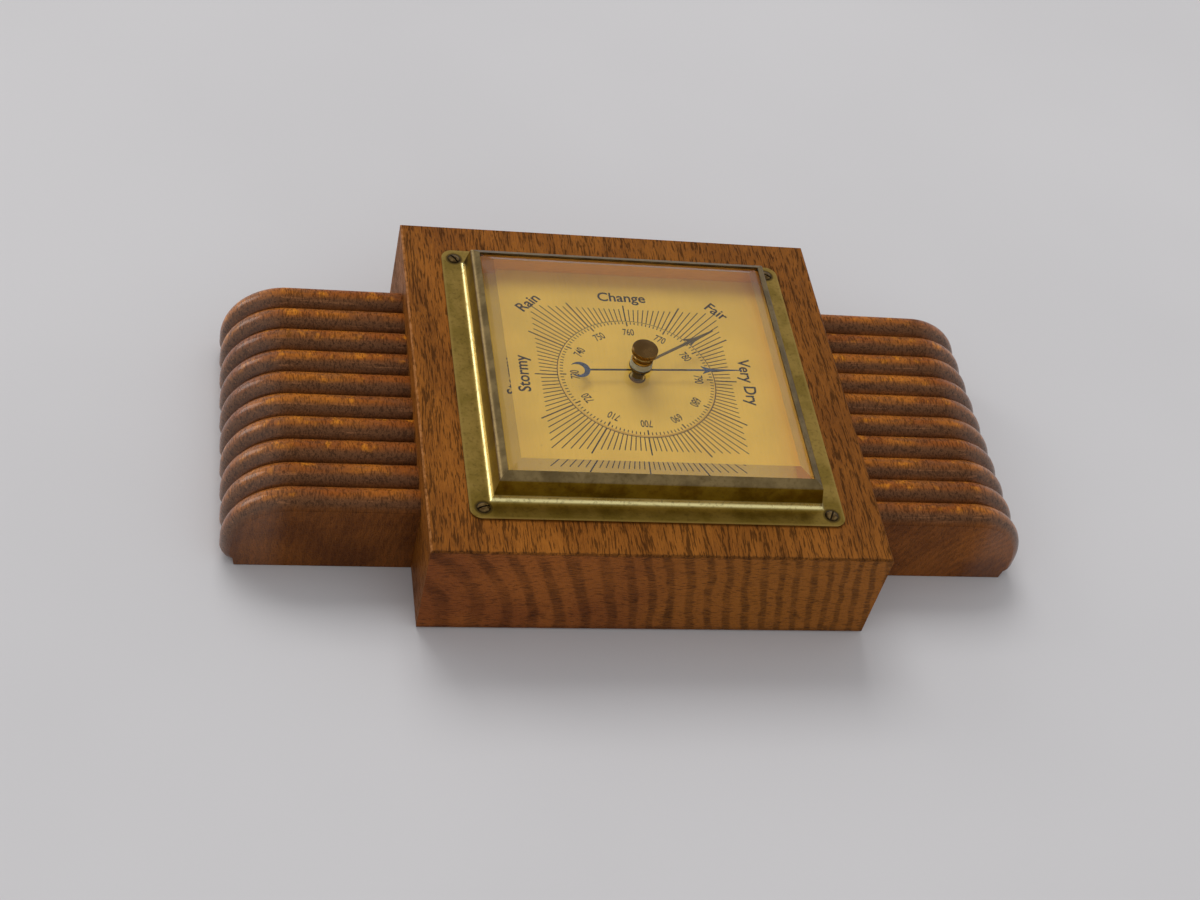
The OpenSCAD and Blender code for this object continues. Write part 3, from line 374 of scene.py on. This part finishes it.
def gilt(name, along, pale, dark, rough, metallic):
    """Gilt sheet, brushed along one direction. along gives the noise cells for each axis."""
    look = Look(name, Metallic=metallic, Specular_IOR_Level=0.1)
    brushed = look.noise(along, detail=4.0, roughness=0.7)
    cloud = look.noise((0.05, 0.05, 0.05), detail=3.0)
    spots = look.step(look.noise((0.7, 0.7, 0.7), detail=1.0), 0.72, 0.78)
    colour = look.mix(look.step(brushed, 0.3, 0.7), dark, pale)
    colour = look.tint(colour, look.step(cloud, 0.3, 0.7, 0.94, 1.04))
    colour = look.mix(look.times(spots, 0.2), colour, (0.35, 0.2, 0.07))
    roughness = look.step(brushed, 0.25, 0.75, rough - 0.05, rough + 0.07)
    return look.finish(colour, roughness, brushed, 0.010)


def knob_brass():
    """Dark patina on the disc, with bright brass where the foot and the rim are rubbed."""
    look = Look("knob_brass", Metallic=1.0)
    cloud = look.noise((0.22, 0.22, 0.22), detail=2.0)
    turned = look.noise((0.15, 0.15, 7.0), detail=2.0)
    top = KNOB_HIGH.z
    disc = look.step(look.z, top - 2.2, top - 1.9)
    rim = look.times(look.near(look.z, top - 0.75, 0.1, 0.25), 0.3)
    dark = look.mix(look.step(cloud, 0.35, 0.65), (0.125, 0.066, 0.020), (0.175, 0.096, 0.031))
    foot = look.mix(look.step(cloud, 0.35, 0.65), (0.30, 0.185, 0.045), (0.52, 0.350, 0.110))
    colour = look.mix(look.minus(disc, rim), foot, dark)
    out_of_shade = look.step(look.z, KNOB_LOW.z + 4.0, top - 5.0, 0.3, 1.0)
    colour = look.tint(colour, out_of_shade)
    return look.finish(colour, look.step(cloud, 0.3, 0.7, 0.16, 0.30), turned, 0.01)


def blued_steel():
    """Blued at the crescent and the arrow head, and brown along the thin rod between them."""
    look = Look("blued_steel", Metallic=0.7)
    cloud = look.noise((0.3, 0.3, 0.3), detail=3.0)
    lines = look.noise((0.5, 6.0, 6.0), detail=3.0)
    blue = look.mix(look.step(cloud, 0.35, 0.65), (0.045, 0.057, 0.096), (0.076, 0.096, 0.160))
    on_rod = look.near(look.radius(), 8.0, 8.4, 0.8)
    colour = look.mix(on_rod, blue, (0.050, 0.032, 0.012))
    return look.finish(colour, look.step(lines, 0.3, 0.7, 0.24, 0.34), lines, 0.005)


def metal(name, pale, dark, rough, brushed=(2.0, 2.0, 2.0), relief=0.01):
    """A metal with fine brushing and faint clouds."""
    look = Look(name, Metallic=1.0)
    lines = look.noise(brushed, detail=3.0, roughness=0.6)
    cloud = look.noise((0.15, 0.15, 0.15), detail=3.0)
    colour = look.mix(look.step(cloud, 0.35, 0.65), dark, pale)
    colour = look.tint(colour, look.step(lines, 0.3, 0.7, 0.88, 1.08))
    cloudy = look.step(cloud, 0.3, 0.7, rough, rough + 0.08)
    roughness = look.add(look.step(lines, 0.3, 0.7, -0.04, 0.06), cloudy)
    return look.finish(colour, roughness, lines, relief)


def turned_metal(name, pale, dark, rough):
    """A metal with the rings that a lathe leaves round the Z axis."""
    look = Look(name, Metallic=1.0)
    outwards = look.combine(look.times(look.radius(), 5.0), 0.0, 0.0)
    rings = look.node("TexNoise", inputs={"Vector": outwards, "Scale": 1.0, "Detail": 3.0})
    cloud = look.noise((0.12, 0.12, 0.12), detail=3.0)
    colour = look.mix(look.step(cloud, 0.35, 0.65), dark, pale)
    colour = look.tint(colour, look.step(rings, 0.3, 0.7, 0.86, 1.08))
    return look.finish(colour, look.step(rings, 0.3, 0.7, rough, rough + 0.12), rings, 0.015)


def clear_glass():
    """Polished plate glass with its bevel tinted grey as painted shade, ground edges and hole. Lamps shine
    straight through it.
    """
    look = Look("glass", IOR=1.5, Specular_IOR_Level=0.10)
    hole_wall = look.step(look.radius(), GLASS_HOLE_R + 0.02, GLASS_HOLE_R + 0.08, 1.0, 0.0)
    outer_edge = look.step(look.square_radius(), GLASS_HIGH.x - 0.05, GLASS_HIGH.x - 0.01)
    smear = look.step(look.noise((0.04, 0.04, 0.04), detail=4.0, roughness=0.7), 0.55, 0.8, 0.0, 0.03)
    ground = look.math("MAXIMUM", hole_wall, outer_edge)
    roughness = look.add(smear, look.times(ground, 0.5))
    look.tree.links.new(look.less(ground, 0.6), look.shader.inputs["Transmission Weight"])
    bevel_from, edge_top = GLASS_HIGH.x - GLASS_BEVEL_W, GLASS_LOW.z + GLASS_EDGE_T
    # Painted shade: the bevel is tinted grey for the darker lip and wall that it shows.
    bevel = look.times(look.step(look.square_radius(), bevel_from - 0.1, bevel_from + 0.1),
                       look.step(look.z, edge_top - 0.5, edge_top - 0.2))
    colour = look.mix(bevel, (0.985, 1.0, 0.985), (0.50, 0.51, 0.56))
    colour = look.mix(ground, colour, (0.40, 0.43, 0.36))
    look.finish(colour, roughness, look.noise((0.02, 0.02, 0.02), detail=1.0), 0.002)
    through = look.node("BsdfTransparent", inputs={0: (0.94, 0.96, 0.93, 1.0)})
    lamp_ray = look.node("LightPath", "Is Shadow Ray")
    mixed = look.node("MixShader", inputs={0: lamp_ray, 1: look.shader.outputs[0], 2: through})
    look.tree.links.new(mixed, look.tree.nodes["Material Output"].inputs["Surface"])
    return look.material


def printing_ink():
    """Matt blackish brown, a little paler where it is worn."""
    look = Look("printing_ink", Specular_IOR_Level=0.15)
    wear = look.noise((1.5, 1.5, 1.5), detail=3.0)
    colour = look.mix(look.step(wear, 0.35, 0.7), (0.016, 0.0065, 0.001), (0.036, 0.016, 0.002))
    return look.finish(colour, look.step(wear, 0.3, 0.7, 0.55, 0.7), wear, 0.005)


GILT_SPACER = gilt("gilt_spacer", (0.3, 0.3, 5.0), (0.92, 0.47, 0.080), (0.80, 0.38, 0.058), 0.34, 0.15)
GILT_DIAL = gilt("gilt_dial", (5.0, 0.12, 1.0), (0.92, 0.560, 0.082), (0.86, 0.505, 0.068), 0.44, 0.1)
MOVEMENT_BRASS = metal("movement_brass", (0.72, 0.53, 0.22), (0.55, 0.38, 0.13), 0.24, (0.4, 6.0, 6.0))
TURNED_BRASS = turned_metal("turned_brass", (0.74, 0.55, 0.24), (0.58, 0.41, 0.15), 0.2)
COLLET_BRASS = turned_metal("collet_brass", (0.14, 0.11, 0.045), (0.07, 0.052, 0.022), 0.25)
STEEL = metal("steel", (0.62, 0.61, 0.59), (0.44, 0.43, 0.41), 0.25, (0.4, 5.0, 5.0))
SPRING_STEEL = metal("spring_steel", (0.34, 0.33, 0.36), (0.21, 0.20, 0.24), 0.22, (5.0, 0.3, 5.0))
NICKEL_SILVER = turned_metal("nickel_silver", (0.72, 0.68, 0.60), (0.55, 0.51, 0.43), 0.26)
HANGER_STEEL = metal("hanger_steel", (0.50, 0.48, 0.42), (0.27, 0.24, 0.19), 0.34, (3.0, 0.3, 3.0), 0.02)
OLIVE_STEEL = metal("olive_steel", (0.200, 0.135, 0.040), (0.110, 0.070, 0.022), 0.34)
BLACKENED_STEEL = metal("blackened_steel", (0.050, 0.040, 0.034), (0.022, 0.018, 0.015), 0.36)

NODE_LOOKS = {
    block_oak(): ["oak_block"],
    wing_oak("wing_oak_left", (-40.0, 4.0), 0.95): ["left_wing"],
    wing_oak("wing_oak_right", (190.0, -45.0), 1.2): ["right_wing"],
    beech(): ["wing_dowels"],
    bezel_brass(): ["bezel"],
    screw_brass(): ["bezel_screws"],
    clear_glass(): ["glass"],
    GILT_SPACER: ["gilt_spacer"],
    GILT_DIAL: ["dial_plate"],
    knob_brass(): ["set_knob"],
    OLIVE_STEEL: ["set_hand"],
    BLACKENED_STEEL: ["set_hand_nut"],
    COLLET_BRASS: ["hand_collet"],
    blued_steel(): ["pressure_hand"],
    MOVEMENT_BRASS: ["spring_bridge", "main_lever", "link_arm", "chain_arm", "rocker_frame", "arbor_bridge",
                     "arbor_cock", "capsule_post", "chain_drum", "hairspring_stud"],
    TURNED_BRASS: ["base_plate", "capsule_stud", "lower_pillars", "upper_pillars"],
    STEEL: ["pointer_arbor", "chain", "base_screws", "post_pin", "spring_screws", "lever_screws", "link_rod",
            "rocking_shaft", "rocker_frame_screws", "pillar_screws", "adjusting_screw"],
    SPRING_STEEL: ["main_spring", "hairspring"],
    NICKEL_SILVER: ["lower_diaphragm", "upper_diaphragm"],
    HANGER_STEEL: ["hanger_plate", "hanger_screws"],
}

for material, names in NODE_LOOKS.items():
    for name in names:
        nodes[name].data.materials.clear()
        nodes[name].data.materials.append(material)


# Dial print: thin raised ink on the plate and on its raised centre

INK_T = 0.02
PLATE_Z = DIAL_LOW.z + DIAL_T
CENTRE_Z = DIAL_HIGH.z
STEP_GAP = 0.45  # the ticks stop this far from the step round the raised centre
PRESSURES = [760, 770, 780, 790, 680, 690, 700, 710, 720, 730, 740, 750]  # mmHg, clockwise from the top
NUMBER_R = 21.6
NUMBER_H = 3.2
WORD_H = 4.4
CAPITAL_SHARE = 0.73  # height of a capital as a share of the font's size
INK = printing_ink()


def print_on_dial(name, mesh):
    """An inked piece in metres from a mesh in millimetres, riding on the case."""
    mesh.transform(Matrix.Scale(MM, 4))
    mesh.materials.append(INK)
    piece = bpy.data.objects.new(name, mesh)
    bpy.context.scene.collection.objects.link(piece)
    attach(piece, "case")


def add_bar(shape, angle, from_r, to_r, width, z):
    """Adds a thin box along a radius of the dial, at an angle in radians."""
    turn = Matrix.Rotation(angle, 4, "Z")
    place = turn @ Matrix.Translation(((from_r + to_r) / 2, 0, z + INK_T / 2))
    bmesh.ops.create_cube(shape, size=1.0, matrix=place @ Matrix.Diagonal((to_r - from_r, width, INK_T, 1.0)))


def dial_ticks():
    """Ticks every 3 degrees, out to a square, with a longer and bolder one every 30 degrees."""
    shape = bmesh.new()
    for i in range(120):
        angle = math.radians(3 * i)
        major = i % 10 == 0
        to_side = max(abs(math.cos(angle)), abs(math.sin(angle)))
        from_r, reach, width = (24.4, 35.1, 0.48) if major else (25.4, 33.2, 0.34)
        add_bar(shape, angle, from_r, CENTRE_R - STEP_GAP, width, CENTRE_Z)
        add_bar(shape, angle, CENTRE_R + STEP_GAP, reach / to_side, width, PLATE_Z)
    mesh = bpy.data.meshes.new("dial_ticks")
    shape.to_mesh(mesh)
    shape.free()
    return mesh


def dial_ring():
    """A thin dark ink line round the foot of the raised centre, painted shade for the side of its step."""
    shape = bmesh.new()
    steps = 180
    inner, outer = CENTRE_R + 0.17, CENTRE_R + 0.43
    rings = []
    for r, z in ((inner, 0), (outer, 0), (outer, INK_T), (inner, INK_T)):
        rings.append([shape.verts.new((r * math.cos(a), r * math.sin(a), PLATE_Z + z))
                      for a in (2 * math.pi * i / steps for i in range(steps))])
    for ring, after in zip(rings, rings[1:] + rings[:1]):
        for i in range(steps):
            j = (i + 1) % steps
            shape.faces.new((ring[i], ring[j], after[j], after[i]))
    bmesh.ops.recalc_face_normals(shape, faces=shape.faces)
    mesh = bpy.data.meshes.new("dial_ring")
    shape.to_mesh(mesh)
    shape.free()
    return mesh


def lettering(text, height, stretch, bold):
    """A mesh of one line of text, centred on the origin, with capitals of the given height."""
    curve = bpy.data.curves.new(text, "FONT")
    curve.body = text
    curve.size = height / CAPITAL_SHARE
    curve.offset = bold
    curve.extrude = INK_T / 2
    curve.resolution_u = 4
    curve.align_x = "CENTER"
    source = bpy.data.objects.new(text, curve)
    mesh = bpy.data.meshes.new_from_object(source)
    bpy.data.objects.remove(source)
    bpy.data.curves.remove(curve)
    mesh.transform(Matrix.Translation((0, -height / 2, INK_T / 2)))
    mesh.transform(Matrix.Diagonal((stretch, 1.0, 1.0, 1.0)))
    shape = bmesh.new()
    shape.from_mesh(mesh)
    bmesh.ops.remove_doubles(shape, verts=shape.verts, dist=0.0001)
    shape.to_mesh(mesh)
    shape.free()
    mesh.materials.clear()
    return mesh


def dial_numbers():
    """The pressures every 30 degrees, with their tops outwards."""
    for i, value in enumerate(PRESSURES):
        angle = math.radians(-30 * i)
        mesh = lettering(str(value), NUMBER_H, stretch=0.62, bold=0.04)
        mesh.transform(Matrix.Rotation(angle, 4, "Z") @ Matrix.Translation((0, NUMBER_R, CENTRE_Z)))
        print_on_dial(f"dial_number_{value}", mesh)


def dial_words():
    """Generic weather words round the scale: word, x, y and turn in degrees."""
    for word, x, y, turn in (("Stormy", -39.4, 0.0, 90), ("Rain", -34.0, 34.5, 45), ("Change", 0.0, 39.3, 0),
                             ("Fair", 34.0, 34.5, -45), ("Very Dry", 39.4, 0.0, -90)):
        mesh = lettering(word, WORD_H, stretch=0.95, bold=0.10)
        mesh.transform(Matrix.Translation((x, y, PLATE_Z)) @ Matrix.Rotation(math.radians(turn), 4, "Z"))
        print_on_dial("dial_word_" + word.lower().replace(" ", "_"), mesh)


print_on_dial("dial_ticks", dial_ticks())
# Painted shade: a dark line round the step of the raised centre.
print_on_dial("dial_ring", dial_ring())
dial_numbers()
dial_words()


# Floor, light and camera

def floor():
    """A pale board that is large enough to fill each view."""
    side = 6.0
    mesh = bpy.data.meshes.new("floor")
    corners = [(x * side, y * side, -0.0002) for x, y in ((-1, -1), (1, -1), (1, 1), (-1, 1))]
    mesh.from_pydata(corners, [], [(0, 1, 2, 3)])
    look = Look("floor_board", Specular_IOR_Level=0.2)
    cloud = look.noise((0.004, 0.004, 0.004), detail=3.0)
    grain = look.noise((0.8, 0.8, 0.8), detail=2.0)
    colour = look.mix(look.step(cloud, 0.3, 0.7), (0.625, 0.618, 0.630), (0.655, 0.648, 0.660))
    mesh.materials.append(look.finish(colour, look.step(grain, 0.3, 0.7, 0.5, 0.6), grain, 0.01))
    board = bpy.data.objects.new("floor", mesh)
    bpy.context.scene.collection.objects.link(board)


def light_panel(name, direction, distance, width, height, watts, colour, mirrored=True):
    """A soft light that faces the object from a direction.

    Where mirrored is off, no shiny surface mirrors it and it isn't seen through the glass.
    """
    lamp = bpy.data.lights.new(name, "AREA")
    lamp.shape = "RECTANGLE"
    lamp.size = width
    lamp.size_y = height
    lamp.energy = watts
    lamp.color = colour
    holder = bpy.data.objects.new(name, lamp)
    holder.location = Vector(direction).normalized() * distance
    holder.rotation_euler = Vector(direction).to_track_quat("Z", "Y").to_euler()
    holder.visible_glossy = mirrored
    holder.visible_transmission = mirrored
    bpy.context.scene.collection.objects.link(holder)


def room_light():
    """Light of the room from all sides, a little stronger from the near one."""
    world = bpy.data.worlds.new("room_light")
    world.use_nodes = True
    tree = world.node_tree
    place = tree.nodes.new("ShaderNodeTexCoord")
    split = tree.nodes.new("ShaderNodeSeparateXYZ")
    side = tree.nodes.new("ShaderNodeMapRange")
    side.interpolation_type = "SMOOTHSTEP"
    for socket, value in zip(side.inputs[1:5], (-0.9, 0.6, 0.60, 0.55)):
        socket.default_value = value
    background = tree.nodes["Background"]
    background.inputs[0].default_value = (1.0, 0.995, 1.005, 1.0)
    tree.links.new(place.outputs["Generated"], split.inputs[0])
    tree.links.new(split.outputs[1], side.inputs[0])
    tree.links.new(side.outputs[0], background.inputs[1])
    bpy.context.scene.world = world


def studio():
    floor()
    light_panel("soft_box", (-0.12, 0.62, 0.77), 6.0, 3.4, 2.6, 134.0, (1.0, 0.99, 0.98), mirrored=False)
    light_panel("window_strip", (-0.72, 0.62, 0.30), 8.0, 2.8, 5.0, 100.0, (1.0, 0.98, 0.95))
    room_light()
    bpy.context.scene.view_settings.view_transform = "Standard"


def camera():
    """The place, turn and lens that the photograph's own edges give."""
    lens = bpy.data.cameras.new("camera")
    lens.sensor_width = 36.0
    lens.lens = 57.08
    lens.clip_start = 0.01
    view = bpy.data.objects.new("camera", lens)
    view.location = (-0.1578, -0.4386, 0.4820)
    view.rotation_euler = Euler([math.radians(a) for a in (43.088, -10.931, -7.668)], "XYZ")
    bpy.context.scene.collection.objects.link(view)
    bpy.context.scene.camera = view


studio()
camera()
